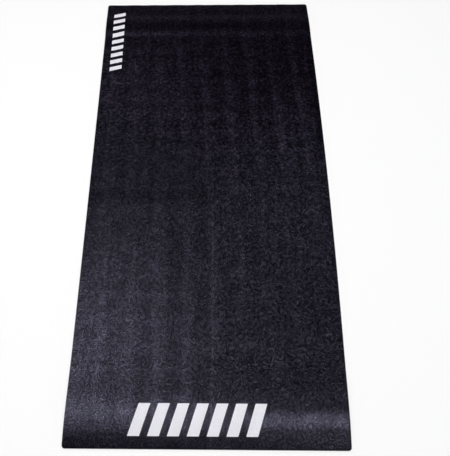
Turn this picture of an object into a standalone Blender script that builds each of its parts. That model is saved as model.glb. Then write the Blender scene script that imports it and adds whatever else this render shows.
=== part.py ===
"""Full-length floor mat for a bicycle on an indoor trainer: one sheet of foamed PVC, lying on the floor.

Metres, +Z up. The sheet's length runs along Y and its width along X. The origin is on the floor,
midway between the middles of the two ends. The front end is at -Y and the back end at +Y.
"""

import math

import bmesh
import bpy

# The sheet as it is cut and moulded
LENGTH = 1.981
WIDTH = 0.914
THICKNESS = 0.006
CORNER_RADIUS = 0.009
ARRIS_ROUNDING = 0.0012

# How the sheet lies: its middle is drawn sideways and is a little wider than its ends
SIDE_SWEEP = 0.0082
BELLY = 0.0067

# What is left of the roll: each end comes down to the floor over a low swell
FRONT_CREST_FROM_END = 0.101
FRONT_CREST_HEIGHT = 0.0085
FRONT_FOOT_FROM_END = 0.321
BACK_SHOULDER_FROM_END = 0.052
BACK_SHOULDER_HEIGHT = 0.002
BACK_CREST_FROM_END = 0.116
BACK_CREST_HEIGHT = 0.0057
BACK_BROW_FROM_END = 0.157
BACK_BROW_HEIGHT = 0.0046
BACK_FOOT_FROM_END = 0.211

# Shallow bands along the length, left in the top face by the rollers that press the grain
BAND_PITCH = 0.0975
BAND_RELIEF = 0.0004

# Spacing of the mesh
STEPS_PER_BAND = 4
END_ZONE = 0.33
END_STEP = 0.015
MIDDLE_STEP = 0.1
CORNER_STEPS = 4
ARRIS_STEPS = 2
SHARPEST_SMOOTH_EDGE = math.radians(40)

# Near-black PVC with a violet cast
PVC_COLOUR = (0.0116, 0.0103, 0.0159, 1.0)
PVC_ROUGHNESS = 0.62


def clear_scene():
    for obj in list(bpy.data.objects):
        bpy.data.objects.remove(obj, do_unlink=True)


def pvc_material():
    material = bpy.data.materials.new("black_pvc_foam")
    material.use_nodes = True
    shader = material.node_tree.nodes["Principled BSDF"]
    shader.inputs["Base Color"].default_value = PVC_COLOUR
    shader.inputs["Roughness"].default_value = PVC_ROUGHNESS
    shader.inputs["Metallic"].default_value = 0.0
    return material


def swell(distance, places):
    """Height of a swell at a distance from the sheet's end.

    It climbs from the floor in a quarter wave to the first place, and then passes smoothly from
    each place to the next. A place is a distance from the end and the height there.
    """
    reach, height = places[0]
    if distance <= reach:
        return height * math.sin(math.pi / 2 * max(distance, 0.0) / reach)
    for next_reach, next_height in places[1:]:
        if distance <= next_reach:
            share = 0.5 - 0.5 * math.cos(math.pi * (distance - reach) / (next_reach - reach))
            return height + (next_height - height) * share
        reach, height = next_reach, next_height
    return height


def underside_height(along):
    """How far the sheet's underside stands off the floor, by place along its length."""
    front_crest = (FRONT_CREST_FROM_END, FRONT_CREST_HEIGHT)
    front = swell(LENGTH / 2 + along, (front_crest, (FRONT_FOOT_FROM_END, 0.0)))
    back_shoulder = (BACK_SHOULDER_FROM_END, BACK_SHOULDER_HEIGHT)
    back_crest = (BACK_CREST_FROM_END, BACK_CREST_HEIGHT)
    back_brow = (BACK_BROW_FROM_END, BACK_BROW_HEIGHT)
    back_places = (back_shoulder, back_crest, back_brow, (BACK_FOOT_FROM_END, 0.0))
    return front + swell(LENGTH / 2 - along, back_places)


def band_share(across):
    """0 in the hollow of a lengthwise band and 1 on its crown."""
    return 0.5 - 0.5 * math.cos(2 * math.pi * across / BAND_PITCH)


def laid_out(across, along):
    """Where a point of the flat cut lies on the floor once the sheet is swept and bellied."""
    share = 1 - (2 * along / LENGTH) ** 2
    x = across * (1 + 2 * BELLY / WIDTH * share) + SIDE_SWEEP * share
    y = along + 8 * SIDE_SWEEP * across * along / LENGTH**2
    return x, y


def outline_points():
    """The flat cut, anticlockwise: a rectangle with an arc at each corner."""
    centre_x = WIDTH / 2 - CORNER_RADIUS
    centre_y = LENGTH / 2 - CORNER_RADIUS
    points = []
    for quarter, (side_x, side_y) in enumerate(((1, 1), (-1, 1), (-1, -1), (1, -1))):
        for step in range(CORNER_STEPS + 1):
            angle = math.pi / 2 * (quarter + step / CORNER_STEPS)
            x = side_x * centre_x + CORNER_RADIUS * math.cos(angle)
            y = side_y * centre_y + CORNER_RADIUS * math.sin(angle)
            points.append((x, y))
    return points


def evenly(low, high, step):
    """Places from low to high, both included, no further apart than the step."""
    count = max(1, math.ceil((high - low) / step - 1e-9))
    return [low + (high - low) * i / count for i in range(count + 1)]


def column_places():
    half = WIDTH / 2 - CORNER_RADIUS
    return evenly(-half, half, BAND_PITCH / STEPS_PER_BAND)


def row_places():
    half = LENGTH / 2 - CORNER_RADIUS
    inner = LENGTH / 2 - END_ZONE
    front = evenly(-half, -inner, END_STEP)
    middle = evenly(-inner, inner, MIDDLE_STEP)
    back = evenly(inner, half, END_STEP)
    return front + middle[1:-1] + back


def cut_along(mesh, place, normal):
    """Cuts every face of the flat mesh where it meets an upright plane."""
    geometry = mesh.verts[:] + mesh.edges[:] + mesh.faces[:]
    point = tuple(place * part for part in normal)
    bmesh.ops.bisect_plane(mesh, geom=geometry, dist=1e-7, plane_co=point, plane_no=normal)


def flat_cut():
    """The sheet's outline as one face, divided into columns and rows."""
    mesh = bmesh.new()
    corners = [mesh.verts.new((x, y, 0.0)) for x, y in outline_points()]
    mesh.faces.new(corners)
    for place in column_places():
        cut_along(mesh, place, (1, 0, 0))
    for place in row_places():
        cut_along(mesh, place, (0, 1, 0))
    return mesh


def make_mat():
    mesh = flat_cut()
    shares = []
    for vert in mesh.verts:
        across, along = vert.co.x, vert.co.y
        shares.append(band_share(across))
        x, y = laid_out(across, along)
        vert.co = (x, y, underside_height(along))
    data = bpy.data.meshes.new("mat")
    mesh.to_mesh(data)
    mesh.free()
    mat = bpy.data.objects.new("mat", data)
    bpy.context.scene.collection.objects.link(mat)

    # The bands make the sheet thicker on their crowns, and its underside stays plain
    bands = mat.vertex_groups.new(name="bands")
    for index, share in enumerate(shares):
        bands.add([index], share, "REPLACE")
    solid = mat.modifiers.new("thickness", "SOLIDIFY")
    solid.thickness = THICKNESS + BAND_RELIEF
    solid.offset = 1
    solid.vertex_group = bands.name
    solid.thickness_vertex_group = (THICKNESS - BAND_RELIEF) / (THICKNESS + BAND_RELIEF)

    arris = mat.modifiers.new("arris", "BEVEL")
    arris.width = ARRIS_ROUNDING
    arris.segments = ARRIS_STEPS
    arris.limit_method = "ANGLE"
    arris.angle_limit = SHARPEST_SMOOTH_EDGE

    data.materials.append(pvc_material())
    data.shade_smooth()
    data.set_sharp_from_angle(angle=SHARPEST_SMOOTH_EDGE)
    return mat


clear_scene()
make_mat()
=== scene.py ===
import math

import bmesh
import bpy
from mathutils import Matrix, Vector


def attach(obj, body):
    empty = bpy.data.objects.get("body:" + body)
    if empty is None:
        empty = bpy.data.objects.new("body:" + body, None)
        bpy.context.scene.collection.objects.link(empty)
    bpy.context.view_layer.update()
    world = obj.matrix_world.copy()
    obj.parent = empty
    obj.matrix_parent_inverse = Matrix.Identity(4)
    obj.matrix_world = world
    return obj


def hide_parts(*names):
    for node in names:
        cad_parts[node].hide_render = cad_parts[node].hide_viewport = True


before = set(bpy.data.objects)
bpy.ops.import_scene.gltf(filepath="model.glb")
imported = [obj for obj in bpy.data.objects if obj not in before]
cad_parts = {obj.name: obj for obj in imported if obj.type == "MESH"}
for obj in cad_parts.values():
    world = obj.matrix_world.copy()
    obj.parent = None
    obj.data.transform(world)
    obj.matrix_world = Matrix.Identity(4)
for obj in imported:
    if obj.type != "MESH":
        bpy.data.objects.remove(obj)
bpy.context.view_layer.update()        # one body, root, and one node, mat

scene = bpy.context.scene
mm = 0.001                           # lengths are in metres, and small ones are so many mm
fullTurn = 2 * math.pi
otherAxis = {"X": "Y", "Y": "X"}


# Colours and nodes

def linear(hexColour):
    # an sRGB hex value as the linear colour that the shaders take
    parts = [int(hexColour[i:i + 2], 16) / 255 for i in (1, 3, 5)]
    return [p / 12.92 if p <= 0.04045 else ((p + 0.055) / 1.055) ** 2.4 for p in parts] + [1.0]


def addNode(tree, kind, settings=None, inputs=()):
    # one node with its settings; an input takes a value, a socket, or a node for its first output
    node = tree.nodes.new(kind)
    for name, value in (settings or {}).items():
        setattr(node, name, value)
    for name, value in inputs.items() if isinstance(inputs, dict) else enumerate(inputs):
        if isinstance(value, bpy.types.Node):
            value = value.outputs[0]
        if isinstance(value, bpy.types.NodeSocket):
            tree.links.new(value, node.inputs[name])
        else:
            node.inputs[name].default_value = value
    return node


def newMaterial(name):
    material = bpy.data.materials.new(name)
    material.use_nodes = True
    material.node_tree.nodes.clear()
    return material, material.node_tree


# Camera, at the photograph's angle

camera = {
    "place": (0.0131, -1.3934, 2.1472),  # metres, over the front end
    "pitch": 60.684,                     # degrees below the horizon
    "yaw": -2.507,                       # degrees to the left of the sheet's length
    "roll": 2.112,                       # degrees about the line of sight
    "focalPixels": 656.5,
    "framePixels": 456,                  # the long side of the 450 x 456 frame
    "sensor": 36.0,                      # mm
    "reach": 60.0,                       # metres, beyond which nothing is drawn
}


def makeCamera():
    data = bpy.data.cameras.new("camera")
    data.sensor_width = camera["sensor"]
    data.lens = camera["sensor"] * camera["focalPixels"] / camera["framePixels"]
    data.clip_end = camera["reach"]
    eye = bpy.data.objects.new("camera", data)
    scene.collection.objects.link(eye)
    turn = Matrix.Rotation(math.radians(camera["yaw"]), 4, "Z")
    tip = Matrix.Rotation(math.radians(90 - camera["pitch"]), 4, "X")
    roll = Matrix.Rotation(math.radians(camera["roll"]), 4, "Z")
    eye.matrix_world = Matrix.Translation(camera["place"]) @ turn @ tip @ roll
    scene.camera = eye
    print("camera: %.1f mm lens" % data.lens)


# Light, world and floor

studio = {
    # soft boxes: place and aim in metres, width and depth in metres, brightness as seen in a mirror
    "leftBox": ((-1.59, 0.02, 2.6), (-0.3, -0.3, 0.0), (3.0, 1.01), 2.0),
    "nearBox": ((-0.9, 0.7, 3.0), (-0.3, -0.3, 0.0), (1.0, 0.6), 1.38),
    "stripBox": ((0.78, -0.55, 3.2), (0.0, 0.0, 0.0), (1.94, 0.234), 8.6),
    "rightBox": ((0.95, 1.5, 3.0), (0.0, 0.0, 0.0), (1.3, 1.4), 0.42),
    "middleBox": ((0.0, 1.5, 3.0), (0.0, 0.0, 0.0), (0.8, 1.4), 0.13),
    "backBox": ((-0.95, 1.5, 3.0), (0.0, 0.0, 0.0), (1.3, 1.4), 0.31),
    "farBox": ((-1.0, 2.9, 3.0), (-0.3, 0.3, 0.0), (0.9, 1.0), 0.21),
}
fill = {
    # a broad ceiling that brings colours to their written level and leaves the sheen to the boxes
    "ceiling": ((0.0, 0.0, 4.6), (0.0, 0.0, 0.0), (7.0, 7.0), 1.45),
}
surroundings = {
    "roomColour": "#ffffff",
    "roomLow": 1.0,              # brightness of the pale walls, seen near the horizon
    "roomHigh": 0.010,           # and of the dark above them
    "fadeFrom": 6.0,             # degrees above the horizon
    "fadeTo": 24.0,
    "floorColour": "#ffffff",
    "floorGlow": 0.60,           # share of plain white over the lit floor, for what looks at it
    "glowFrom": 2.5,             # metres from the middle, where the lamps begin to miss the floor
    "glowTo": 8.0,               # metres, beyond which it is all plain white
    "floorSize": 60.0,           # metres
    "floorGap": 0.5 * mm,        # under the sheet
}


def makeLamp(name, place, aim, size, brightness, shines=True):
    data = bpy.data.lights.new(name, "AREA")
    data.shape = "RECTANGLE"
    data.size, data.size_y = size
    data.energy = brightness * math.pi * size[0] * size[1]
    lamp = bpy.data.objects.new(name, data)
    scene.collection.objects.link(lamp)
    back = (Vector(place) - Vector(aim)).normalized()
    side = Vector((0, 1, 0)).cross(back).normalized()      # level, so that the lamp isn't rolled
    turn = Matrix((side, back.cross(side), back)).transposed().to_4x4()
    lamp.matrix_world = Matrix.Translation(place) @ turn
    lamp.visible_camera = False
    lamp.visible_glossy = shines
    print("lamp:", name)


def makeWorld():
    # pale at the horizon and dark overhead, as in a studio with pale walls and only soft boxes above
    world = bpy.data.worlds.new("studioWorld")
    world.use_nodes = True
    scene.world = world
    tree = world.node_tree
    tree.nodes.clear()
    spot = addNode(tree, "ShaderNodeTexCoord")
    height = addNode(tree, "ShaderNodeSeparateXYZ", {}, (spot.outputs["Generated"],))
    fade = addNode(tree, "ShaderNodeMapRange", {"interpolation_type": "SMOOTHSTEP"}, {
        "Value": height.outputs["Z"],
        "From Min": math.sin(math.radians(surroundings["fadeFrom"])),
        "From Max": math.sin(math.radians(surroundings["fadeTo"])),
        "To Min": surroundings["roomLow"], "To Max": surroundings["roomHigh"]})
    glow = addNode(tree, "ShaderNodeBackground", {}, {
        "Color": linear(surroundings["roomColour"]), "Strength": fade})
    addNode(tree, "ShaderNodeOutputWorld", {}, {"Surface": glow})
    print("world: pale walls, dark overhead")


def makeFloor():
    mesh = bpy.data.meshes.new("floor")
    half = surroundings["floorSize"] / 2
    corners = [(-half, -half, 0), (half, -half, 0), (half, half, 0), (-half, half, 0)]
    mesh.from_pydata(corners, [], [(0, 1, 2, 3)])
    floor = bpy.data.objects.new("floor", mesh)
    scene.collection.objects.link(floor)
    floor.location.z = -surroundings["floorGap"]

    # matt white paint, which keeps the shadow, under a share of plain white for what looks at it
    material, tree = newMaterial("paleFloor")
    colour = linear(surroundings["floorColour"])
    lit = addNode(tree, "ShaderNodeBsdfDiffuse", {}, {"Color": colour})
    glow = addNode(tree, "ShaderNodeEmission", {}, {"Color": colour})
    path = addNode(tree, "ShaderNodeLightPath")
    seen = path.outputs["Is Camera Ray"]
    for ray in ("Is Glossy Ray", "Is Transmission Ray"):
        seen = addNode(tree, "ShaderNodeMath", {"operation": "MAXIMUM"}, (seen, path.outputs[ray]))
    spot = addNode(tree, "ShaderNodeTexCoord")
    away = addNode(tree, "ShaderNodeVectorMath", {"operation": "LENGTH"}, (spot.outputs["Object"],))
    glowShare = addNode(tree, "ShaderNodeMapRange", {}, {
        "Value": away.outputs["Value"],
        "From Min": surroundings["glowFrom"], "From Max": surroundings["glowTo"],
        "To Min": surroundings["floorGlow"], "To Max": 1.0})
    share = addNode(tree, "ShaderNodeMath", {"operation": "MULTIPLY"}, (seen, glowShare))
    mixed = addNode(tree, "ShaderNodeMixShader", {}, (share, lit, glow))
    addNode(tree, "ShaderNodeOutputMaterial", {}, {"Surface": mixed})
    mesh.materials.append(material)
    print("floor: made")


# The sheet

mat = {
    "length": 1.981, "width": 0.914, "thickness": 0.006,   # as it is cut
    "corner": 0.009, "arris": 0.0012, "arrisSteps": 3,
    "sweep": 0.0082, "belly": 0.0067,                      # how its middle lies sideways and swells
    # height off the floor by distance from the end: each end comes down to the floor over a low swell
    "frontSwell": ((0.101, 0.0085), (0.321, 0.0)),
    "backSwell": ((0.052, 0.002), (0.116, 0.0057), (0.157, 0.0046), (0.211, 0.0)),
    # the rollers' bands along the sheet, and their fainter ripples across it, one hollow at ripplePlace
    "bandPitch": 0.0975, "bandRelief": 0.0004,
    "ripplePitch": 0.0906, "rippleRelief": 0.00012, "ripplePlace": 0.61,
    "step": 0.0054,                                        # spacing of the top's mesh
    "underStep": 0.09, "underEndStep": 0.012,              # and of the underside's, finer where
    "endZone": 0.25,                                       # it rises, this far from each end
    "snap": 2e-5,                                          # places closer than this are one
}


def swell(distance, places):
    # a quarter wave up from the end to the first place, then smooth steps from place to place
    reach, top = places[0]
    if distance <= reach:
        return top * math.sin(0.5 * math.pi * max(distance, 0.0) / reach)
    for nextReach, nextTop in places[1:]:
        if distance <= nextReach:
            share = 0.5 - 0.5 * math.cos(math.pi * (distance - reach) / (nextReach - reach))
            return top + (nextTop - top) * share
        reach, top = nextReach, nextTop
    return top


def underside(along):
    half = mat["length"] / 2
    return swell(half + along, mat["frontSwell"]) + swell(half - along, mat["backSwell"])


def topRelief(across, along):
    band = math.cos(fullTurn * across / mat["bandPitch"])
    ripple = math.cos(fullTurn * (along - mat["ripplePlace"]) / mat["ripplePitch"])
    return -mat["bandRelief"] * band - mat["rippleRelief"] * ripple


def laidOut(across, along):
    # where a point of the flat cut lies on the floor: swept sideways and swollen in the middle
    share = 1 - (2 * along / mat["length"]) ** 2
    x = across * (1 + 2 * mat["belly"] / mat["width"] * share) + mat["sweep"] * share
    return x, along + 8 * mat["sweep"] * across * along / mat["length"] ** 2


def flatTop(bm):
    # a grid with its corners drawn in to arcs, inset by the arris
    halfX, halfY = mat["width"] / 2 - mat["arris"], mat["length"] / 2 - mat["arris"]
    columns, rows = round(2 * halfX / mat["step"]), round(2 * halfY / mat["step"])
    bmesh.ops.create_grid(bm, x_segments=columns, y_segments=rows, size=1.0)
    radius = mat["corner"] - mat["arris"]
    for v in bm.verts:
        v.co.x *= halfX
        v.co.y *= halfY
        a, b = abs(v.co.x) - (halfX - radius), abs(v.co.y) - (halfY - radius)
        if a > 0 and b > 0:
            pull = max(a, b) / math.hypot(a, b)
            v.co.x = math.copysign(halfX - radius + a * pull, v.co.x)
            v.co.y = math.copysign(halfY - radius + b * pull, v.co.y)


def outward(across, along):
    # unit direction out of the outline at a point on it
    inX = mat["width"] / 2 - mat["corner"]
    inY = mat["length"] / 2 - mat["corner"]
    a, b = max(abs(across) - inX, 0.0), max(abs(along) - inY, 0.0)
    size = math.hypot(a, b)
    return math.copysign(a / size, across), math.copysign(b / size, along)


def addRim(bm):
    # the rounded arris, the cut side and the lower arris, loop by loop from the top face's edge
    arris, thickness, steps = mat["arris"], mat["thickness"], mat["arrisSteps"]
    turns = [math.pi / 2 * i / steps for i in range(steps + 1)]
    upper = [(arris * math.sin(t), -arris * (1 - math.cos(t))) for t in turns]
    lower = [(arris * math.cos(t), -thickness + arris * (1 - math.sin(t))) for t in turns]
    rim = [e for e in bm.edges if e.is_boundary]
    places = {v: (v.co.x, v.co.y, outward(v.co.x, v.co.y)) for e in rim for v in e.verts}
    for out, depth in upper[1:] + lower:
        made = bmesh.ops.extrude_edge_only(bm, edges=rim)["geom"]
        fresh = [g for g in made if isinstance(g, bmesh.types.BMVert)]
        moved = {}
        for v in fresh:
            old = next(e.other_vert(v) for e in v.link_edges if e.other_vert(v) in places)
            moved[v] = places[old]
        for v, (x, y, (nx, ny)) in moved.items():
            v.co = (x + nx * out, y + ny * out, depth)
        places = moved
        rim = [g for g in made if isinstance(g, bmesh.types.BMEdge) and g.is_boundary]
    return rim


def addUnderside(bm, rim):
    # one face inside the rim, cut through at points of the rim, closely where the sheet rises
    faces = bmesh.ops.contextual_create(bm, geom=rim)["faces"]
    cuts = []
    for axis, half in ((1, mat["length"] / 2), (0, mat["width"] / 2)):
        normal = (1 - axis, axis, 0)
        last = -math.inf
        for place in sorted({round(v.co[axis], 6) for e in rim for v in e.verts}):
            fromEdge = half - abs(place)
            rises = axis == 1 and fromEdge < mat["endZone"]
            gap = mat["underEndStep"] if rises else mat["underStep"]
            if fromEdge >= mat["corner"] and place - last >= gap:
                cuts.append(([place * part for part in normal], normal))
                last = place
    for point, normal in cuts:
        geom = dict.fromkeys(faces)
        for f in faces:
            geom.update(dict.fromkeys([*f.edges, *f.verts]))
        cut = bmesh.ops.bisect_plane(bm, geom=list(geom), dist=mat["snap"],
                                     plane_co=point, plane_no=normal)
        faces = [g for g in cut["geom"] if isinstance(g, bmesh.types.BMFace)]
    # in triangles while it is flat, so that the many points along its edge leave no slivers
    bmesh.ops.triangulate(bm, faces=faces, quad_method="BEAUTY", ngon_method="BEAUTY")


def makeMat():
    bm = bmesh.new()
    flatTop(bm)
    rim = addRim(bm)
    addUnderside(bm, rim)
    bmesh.ops.recalc_face_normals(bm, faces=bm.faces[:])
    finishes = (embossedPvc(), cutFoam(), plainUnderside())
    cutSide, under = 1, 2                            # their places among the finishes
    flat = bm.loops.layers.uv.new("flat")            # places on the flat cut, in metres
    for face in bm.faces:
        for loop in face.loops:
            loop[flat].uv = loop.vert.co.xy
        depth = face.calc_center_median().z          # 0 on the top face, less on the sides
        if depth < mat["snap"] - mat["thickness"]:
            face.material_index = under
        elif depth < -mat["arris"]:
            face.material_index = cutSide
    for v in bm.verts:
        across, along, depth = v.co
        share = 1 + depth / mat["thickness"]         # 1 on the top face, 0 on the underside
        x, y = laidOut(across, along)
        z = underside(along) + mat["thickness"] + depth + share * topRelief(across, along)
        v.co = (x, y, z)
    mesh = bpy.data.meshes.new("sheet")
    bm.to_mesh(mesh)
    bm.free()
    mesh.shade_smooth()
    sheet = bpy.data.objects.new("sheet", mesh)
    scene.collection.objects.link(sheet)
    for material in finishes:
        mesh.materials.append(material)
    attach(sheet, "root")
    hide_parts("mat")
    print("sheet:", len(mesh.polygons), "faces")


# The top's finish

# the real grain is taken to be about 0.7 mm wide, and is drawn this many times as coarse, because
# the picture can't hold it finer
coarser = 4.0
pvc = {
    "colour": "#0c0811",         # near-black with a violet cast, as the photograph shows it
    "ior": 1.53,
    "roughness": 0.29,           # in the grain's valleys
    "polished": 0.22,            # roughness on its crowns
    "shine": 0.46,               # specular level on the average
    "specularTint": "#e1dfff",
    "relief": 0.7 * mm,
    # noise: size of its cells along each axis, octaves, their evenness, and an offset into the noise
    "fine": ((0.725 * mm * coarser,) * 3, 1.0, 0.8, (0.0, 0.0, 0.0)),
    "coarse": ((2.5 * mm * coarser,) * 3, 0.0, 0.5, (3.0, 5.0, 1.0)),      # groups of grains
    "streaks": ((18 * mm, 500 * mm, 1.0), 1.0, 0.6, (0.0, 0.0, 0.0)),
    "mottle": ((45 * mm,) * 3, 1.0, 0.6, (7.0, 2.0, 0.0)),
    "pebble": 0.9 * mm * coarser,              # spacing of the crowns
    "pebbleMiddle": 0.46, "pebbleShare": 0.5,
    "crown": (-0.10, 0.30),      # height of the grain where a crown starts and where it is full
    "glint": 9.6,                # how much stronger crowns shine than valleys, as a power of e, in the specular level, and how much lighter they are as painted glint in the base colour
    "smoothed": 0.43,            # share of it lost where the grain's glint is drawn weaker
    "smoothedRight": 0.35,       # how much of that loss the near right has
    # how strongly each thing lies in the specular level and the base colour, as a power of e: painted
    # sheen for the bands and ripples, tone at random for the streaks and mottle
    "bandShare": 0.28, "rippleShare": 0.13, "streakShare": 0.8, "mottleShare": 0.8,
    "bandDrift": 0.034,          # metres to the side in each metre of length
    "bandEdge": 0.4,             # strength of the waves at half the pitch that sharpen the bands
    "rippleWander": 3.0,         # how far the mottle pushes the ripples about, in radians
}

spans = {
    # how far a share reaches: the axis that it changes along, from where to where in metres on the
    # flat cut, and the shares at those two places, which hold beyond them
    # bands and ripples: their far part, their fading at the back end and on the far left, and the
    # near left
    "bandsFar": ("Y", -0.15, 0.25, 0.0, 1.0),
    "bandsEnd": ("Y", 0.62, 0.80, 1.0, 0.4),
    "bandsSide": ("X", -0.30, 0.10, 0.45, 1.0),
    "bandsNear": ("X", 0.12, -0.05, 0.0, 0.35),
    "ripplesFar": ("Y", 0.05, 0.45, 0.6, 1.0),
    # grain: the share of it that is coarse, and where its glint is drawn weaker
    "coarse": ("Y", -0.90, 0.90, 0.18, 0.42),
    "smoothNear": ("Y", 0.42, 0.08, 0.0, 1.0),
    "smoothLeft": ("X", 0.24, -0.14, 0.0, 1.0),
    "smoothFront": ("Y", -0.78, -0.86, 0.0, 1.36),
    "smoothBack": ("Y", 0.60, 0.82, 0.0, 1.0),
    "smoothFar": ("Y", 0.10, 0.42, 0.0, 0.40),
}

paintedSheenStrokes = {
    # painted sheen and painted shade: soft strokes of highlight and shade where the swells, ridges,
    # hollows and edges catch the lamps more or less, laid into the base colour and the specular level:
    # the axis that they cross, where they lie on it, half their width, their strength as a power of e,
    # and where along the other axis they are full and where gone, in metres on the flat cut
    # painted highlights on the back end's ridges, and painted shade in the hollow between them
    "backLine": ("Y", 0.803, 0.011, 0.55, -0.30, 0.42),
    "backHollow": ("Y", 0.852, 0.028, -0.42, 0.0, 0.60),
    "backEdge": ("Y", 0.905, 0.020, 0.28, -0.20, 0.50),
    # thin painted highlights along and across the sheet
    "nearLine": ("Y", -0.735, 0.007, 0.25, -0.15, 0.0),
    "middleLine": ("X", 0.012, 0.006, 0.50, -0.22, 0.0),
    # painted shade along the right edge, where it droops away from the light
    "rightEdge": ("X", 0.462, 0.035, -0.70, 0.35, 0.0),
    # a painted highlight on the front swell, and painted shade on its foot, where the end comes down
    "frontSwell": ("Y", -0.883, 0.055, 0.53, 0.0, 0.25),
    "frontRight": ("Y", -0.900, 0.034, 1.06, 0.25, 0.05),
    "frontFoot": ("Y", -0.968, 0.032, -0.30, 0.10, 0.35),
    # painted sheen on the far left and painted shade on the far right, where the lamps light the sheet
    # unevenly
    "farLeft": ("Y", 0.500, 0.260, 0.30, -0.35, 0.10),
    "farRight": ("Y", 0.620, 0.300, -0.20, 0.30, -0.05),
    # a painted highlight and painted shade across the middle, where the sheen changes abruptly
    "middleEdge": ("Y", -0.130, 0.040, 0.16, -0.08, 0.05),
    "middleHollow": ("Y", -0.045, 0.045, -0.16, -0.08, 0.08),
    # painted sheen on the near left and painted shade on the near right
    "nearLeft": ("Y", -0.550, 0.450, 0.17, -0.30, -0.02),
    "nearRight": ("Y", -0.720, 0.300, -0.26, 0.10, -0.08),
}

ink = {
    # screen-printed vinyl ink: a flat white, duller than the crowns of the grain that it covers
    "colour": "#ecebf0",
    "roughness": 0.45,
    # two rows of plain slanted bars: the axis that they run along, their middle on it and their level
    # on the other, run and bar height in metres, and the share of each pitch that its bar fills
    "rows": (
        {"runs": "X", "middle": -0.018, "level": -0.900, "run": 0.440, "height": 0.104,
         "bars": 7, "slant": 0.30, "filled": 0.60},
        {"runs": "Y", "middle": 0.772, "level": -0.399, "run": 0.356, "height": 0.050,
         "bars": 9, "slant": 0.30, "filled": 0.55},
    ),
}


def noiseAt(tree, vector, size, octaves, evenness, offset):
    # noise about zero, its cells of a size in metres along each axis
    placed = addNode(tree, "ShaderNodeMapping", {}, {
        "Vector": vector, "Scale": [1 / part for part in size], "Location": offset})
    cloud = addNode(tree, "ShaderNodeTexNoise", {}, {
        "Vector": placed, "Scale": 1.0, "Detail": octaves, "Roughness": evenness})
    return addNode(tree, "ShaderNodeMath", {"operation": "SUBTRACT"}, (cloud, 0.5))


def sheenStroke(tree, place, axis, middle, half, strength, full, gone):
    # a soft line of painted sheen, or of painted shade where its strength is below 0, across one axis,
    # full up to a place along the other and then fading
    away = addNode(tree, "ShaderNodeMath", {"operation": "SUBTRACT"}, (place.outputs[axis], middle))
    away = addNode(tree, "ShaderNodeMath", {"operation": "DIVIDE"}, (away, half))
    square = addNode(tree, "ShaderNodeMath", {"operation": "MULTIPLY"}, (away, away))
    height = addNode(tree, "ShaderNodeMath", {"operation": "SUBTRACT"}, (1.0, square))
    height = addNode(tree, "ShaderNodeMath", {"operation": "MAXIMUM"}, (height, 0.0))
    kept = addNode(tree, "ShaderNodeMapRange", {"interpolation_type": "SMOOTHSTEP"}, {
        "Value": place.outputs[otherAxis[axis]], "From Min": full, "From Max": gone,
        "To Min": strength, "To Max": 0.0})
    return addNode(tree, "ShaderNodeMath", {"operation": "MULTIPLY"}, (height, kept))


def bandWaves(tree, place, shares, far):
    # painted sheen of the rollers' bands along the sheet, whose low relief is also in the mesh,
    # sharpened by waves at half their pitch
    u, v = place.outputs["X"], place.outputs["Y"]
    drifted = addNode(tree, "ShaderNodeMath", {"operation": "MULTIPLY_ADD"}, (v, pvc["bandDrift"], u))
    waves = []
    for pitch in (mat["bandPitch"], mat["bandPitch"] / 2):
        turn = addNode(tree, "ShaderNodeMath", {"operation": "MULTIPLY"}, (drifted, fullTurn / pitch))
        waves.append(addNode(tree, "ShaderNodeMath", {"operation": "COSINE"}, (turn,)))
    bands = addNode(tree, "ShaderNodeMath", {"operation": "MULTIPLY_ADD"},
                    (waves[1], pvc["bandEdge"], waves[0]))
    side = addNode(tree, "ShaderNodeMath", {"operation": "MULTIPLY"}, (far, shares["bandsSide"]))
    shown = addNode(tree, "ShaderNodeMath", {"operation": "MAXIMUM"}, (side, shares["bandsNear"]))
    return addNode(tree, "ShaderNodeMath", {"operation": "MULTIPLY"}, (bands, shown))


def rippleWaves(tree, place, shares, far, mottle):
    # painted sheen of the rollers' fainter ripples across the sheet, whose low relief is also in the
    # mesh, pushed about a little by the mottle
    wander = addNode(tree, "ShaderNodeMath", {"operation": "MULTIPLY"}, (mottle, pvc["rippleWander"]))
    along = addNode(tree, "ShaderNodeMath", {"operation": "SUBTRACT"},
                    (place.outputs["Y"], mat["ripplePlace"]))
    turn = addNode(tree, "ShaderNodeMath", {"operation": "MULTIPLY_ADD"},
                   (along, fullTurn / mat["ripplePitch"], wander))
    ripples = addNode(tree, "ShaderNodeMath", {"operation": "COSINE"}, (turn,))
    shown = addNode(tree, "ShaderNodeMath", {"operation": "MAXIMUM"}, (far, shares["bandsNear"]))
    for share in (shown, shares["ripplesFar"]):
        ripples = addNode(tree, "ShaderNodeMath", {"operation": "MULTIPLY"}, (ripples, share))
    return ripples


def paintedSheenAndTone(tree, flat, place, shares):
    # painted sheen and painted shade over the sheet, from the strokes, bands and ripples, with tone at
    # random from the streaks and mottle, as a power of e: 0 on the average
    tone = 0.0
    for settings in paintedSheenStrokes.values():
        line = sheenStroke(tree, place, *settings)
        tone = addNode(tree, "ShaderNodeMath", {"operation": "ADD"}, (line, tone))
    mottle = noiseAt(tree, flat, *pvc["mottle"])
    far = addNode(tree, "ShaderNodeMath", {"operation": "MULTIPLY"},
                  (shares["bandsFar"], shares["bandsEnd"]))
    for part, share in ((bandWaves(tree, place, shares, far), "bandShare"),
                        (rippleWaves(tree, place, shares, far, mottle), "rippleShare"),
                        (noiseAt(tree, flat, *pvc["streaks"]), "streakShare"),
                        (mottle, "mottleShare")):
        tone = addNode(tree, "ShaderNodeMath", {"operation": "MULTIPLY_ADD"}, (part, pvc[share], tone))
    return tone


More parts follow.
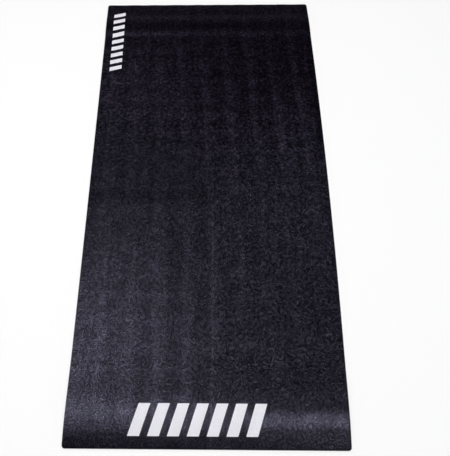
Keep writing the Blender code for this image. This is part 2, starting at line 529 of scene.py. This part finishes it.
def smoothed(tree, shares):
    # about 1 where the grain's glint is drawn weaker: on the near left and over the swells, and less
    # towards the far end
    left = addNode(tree, "ShaderNodeMath", {"operation": "MAXIMUM"},
                   (shares["smoothLeft"], pvc["smoothedRight"]))
    most = addNode(tree, "ShaderNodeMath", {"operation": "MULTIPLY"}, (shares["smoothNear"], left))
    for end in ("smoothFront", "smoothBack", "smoothFar"):
        most = addNode(tree, "ShaderNodeMath", {"operation": "MAXIMUM"}, (most, shares[end]))
    return most


def barRow(tree, place, row):
    # 1 on the bars of a row
    pitch = row["run"] / row["bars"]
    start = row["middle"] - row["run"] / 2
    up = addNode(tree, "ShaderNodeMath", {"operation": "SUBTRACT"},
                 (place.outputs[otherAxis[row["runs"]]], row["level"]))
    leaning = addNode(tree, "ShaderNodeMath", {"operation": "MULTIPLY_ADD"},
                      (up, -row["slant"], place.outputs[row["runs"]]))
    along = addNode(tree, "ShaderNodeMath", {"operation": "SUBTRACT"}, (leaning, start))
    along = addNode(tree, "ShaderNodeMath", {"operation": "DIVIDE"}, (along, pitch))
    part = addNode(tree, "ShaderNodeMath", {"operation": "FRACT"}, (along,))
    shown = addNode(tree, "ShaderNodeMath", {"operation": "LESS_THAN"}, (part, row["filled"]))
    for value, middle, reach in ((along, row["bars"] / 2, row["bars"] / 2),
                                 (up, 0.0, row["height"] / 2)):
        within = addNode(tree, "ShaderNodeMath", {"operation": "COMPARE"}, (value, middle, reach))
        shown = addNode(tree, "ShaderNodeMath", {"operation": "MULTIPLY"}, (shown, within))
    return shown


def finish(tree, look, height, varied=None):
    # the surface itself: its relief, its plain values, and those that vary over it
    bump = addNode(tree, "ShaderNodeBump", {}, {
        "Strength": 1.0, "Distance": look["relief"], "Height": height})
    inputs = {"Base Color": linear(look["colour"]), "Roughness": look["roughness"],
              "IOR": look["ior"], "Specular IOR Level": look["shine"],
              "Specular Tint": linear(pvc["specularTint"]), "Normal": bump}
    inputs.update(varied or {})
    shader = addNode(tree, "ShaderNodeBsdfPrincipled", {}, inputs)
    addNode(tree, "ShaderNodeOutputMaterial", {}, {"Surface": shader})


def embossedPvc():
    # foamed PVC embossed warm between rollers: a pebbled, near-black skin, whose crowns are pressed
    # smooth and glint, and whose valleys stay dull;
    # its base colour and specular level carry painted glint on the crowns and painted sheen and shade
    # along its bands, ripples and strokes
    material, tree = newMaterial("embossedPvc")
    solid = addNode(tree, "ShaderNodeTexCoord").outputs["Object"]
    flat = addNode(tree, "ShaderNodeUVMap", {"uv_map": "flat"})
    place = addNode(tree, "ShaderNodeSeparateXYZ", {}, (flat,))
    shares = {}
    for name, (axis, start, end, atStart, atEnd) in spans.items():
        shares[name] = addNode(tree, "ShaderNodeMapRange", {}, {
            "Value": place.outputs[axis], "From Min": start, "From Max": end,
            "To Min": atStart, "To Max": atEnd})

    pebbles = addNode(tree, "ShaderNodeTexVoronoi", {}, {"Vector": solid, "Scale": 1 / pvc["pebble"]})
    crowns = addNode(tree, "ShaderNodeMath", {"operation": "SUBTRACT"},
                     (pvc["pebbleMiddle"], pebbles.outputs["Distance"]))
    fine = addNode(tree, "ShaderNodeMath", {"operation": "MULTIPLY_ADD"},
                   (crowns, pvc["pebbleShare"], noiseAt(tree, solid, *pvc["fine"])))
    coarse = noiseAt(tree, solid, *pvc["coarse"])
    # a Mix node's numbers are its inputs 2 and 3, and its colours are 6 and 7 and come out at 2
    grain = addNode(tree, "ShaderNodeMix", {"data_type": "FLOAT"},
                    {0: shares["coarse"], 2: fine, 3: coarse})
    polish = addNode(tree, "ShaderNodeMapRange", {"interpolation_type": "SMOOTHSTEP"}, {
        "Value": grain, "From Min": pvc["crown"][0], "From Max": pvc["crown"][1],
        "To Min": pvc["roughness"], "To Max": pvc["polished"]})

    power = addNode(tree, "ShaderNodeMath", {"operation": "MULTIPLY_ADD"},
                    (smoothed(tree, shares), -pvc["glint"] * pvc["smoothed"], pvc["glint"]))
    tone = addNode(tree, "ShaderNodeMath", {"operation": "MULTIPLY_ADD"},
                   (grain, power, paintedSheenAndTone(tree, flat, place, shares)))
    # one factor for the grain's glint and the painted sheen and shade: it scales the specular level,
    # and paints them into the base colour
    glint = addNode(tree, "ShaderNodeMath", {"operation": "EXPONENT"}, (tone,))
    shine = addNode(tree, "ShaderNodeMath", {"operation": "MULTIPLY"}, (glint, pvc["shine"]))
    colourWithPaintedSheen = addNode(tree, "ShaderNodeVectorMath", {"operation": "SCALE"},
                    {0: linear(pvc["colour"])[:3], "Scale": glint})

    inked = addNode(tree, "ShaderNodeMath", {"operation": "MAXIMUM"},
                    [barRow(tree, place, row) for row in ink["rows"]])
    colourWithPaintedSheen = addNode(tree, "ShaderNodeMix", {"data_type": "RGBA"},
                    {0: inked, 6: colourWithPaintedSheen, 7: linear(ink["colour"])})
    polish = addNode(tree, "ShaderNodeMix", {"data_type": "FLOAT"},
                     {0: inked, 2: polish, 3: ink["roughness"]})
    finish(tree, pvc, grain, {
        "Base Color": colourWithPaintedSheen.outputs[2], "Roughness": polish, "Specular IOR Level": shine})
    print("material: embossed PVC")
    return material


foam = {
    "colour": "#0a080d",
    "roughness": 0.80, "ior": 1.53, "shine": 0.12,
    "cell": 0.55 * mm * 2,       # drawn at twice the real size, which wouldn't show
    "relief": 0.25 * mm,
}


def cutFoam():
    # foamed PVC cut with a knife: matt, and a little darker than the skin
    material, tree = newMaterial("cutFoam")
    solid = addNode(tree, "ShaderNodeTexCoord").outputs["Object"]
    cells = addNode(tree, "ShaderNodeTexVoronoi", {}, {"Vector": solid, "Scale": 1 / foam["cell"]})
    finish(tree, foam, cells.outputs["Distance"])
    print("material: cut foam")
    return material


skin = {
    "colour": "#0f0d13",
    "roughness": 0.60, "ior": 1.53, "shine": 0.30,
    "weave": 1.6 * mm * 2,       # drawn at twice the real size, which wouldn't show
    "relief": 0.2 * mm,
}


def plainUnderside():
    # PVC skin cured on a cloth belt: dull and even, with the belt's weave pressed into it
    material, tree = newMaterial("plainUnderside")
    flat = addNode(tree, "ShaderNodeUVMap", {"uv_map": "flat"})
    place = addNode(tree, "ShaderNodeSeparateXYZ", {}, (flat,))
    threads = []
    for axis in "XY":
        turn = addNode(tree, "ShaderNodeMath", {"operation": "MULTIPLY"},
                       (place.outputs[axis], fullTurn / skin["weave"]))
        threads.append(addNode(tree, "ShaderNodeMath", {"operation": "SINE"}, (turn,)))
    weave = addNode(tree, "ShaderNodeMath", {"operation": "MULTIPLY"}, threads)
    finish(tree, skin, weave)
    print("material: plain underside")
    return material


scene.view_settings.view_transform = "Standard"
makeCamera()
for name, settings in studio.items():
    makeLamp(name, *settings)
for name, settings in fill.items():
    makeLamp(name, *settings, shines=False)
makeWorld()
makeFloor()
makeMat()
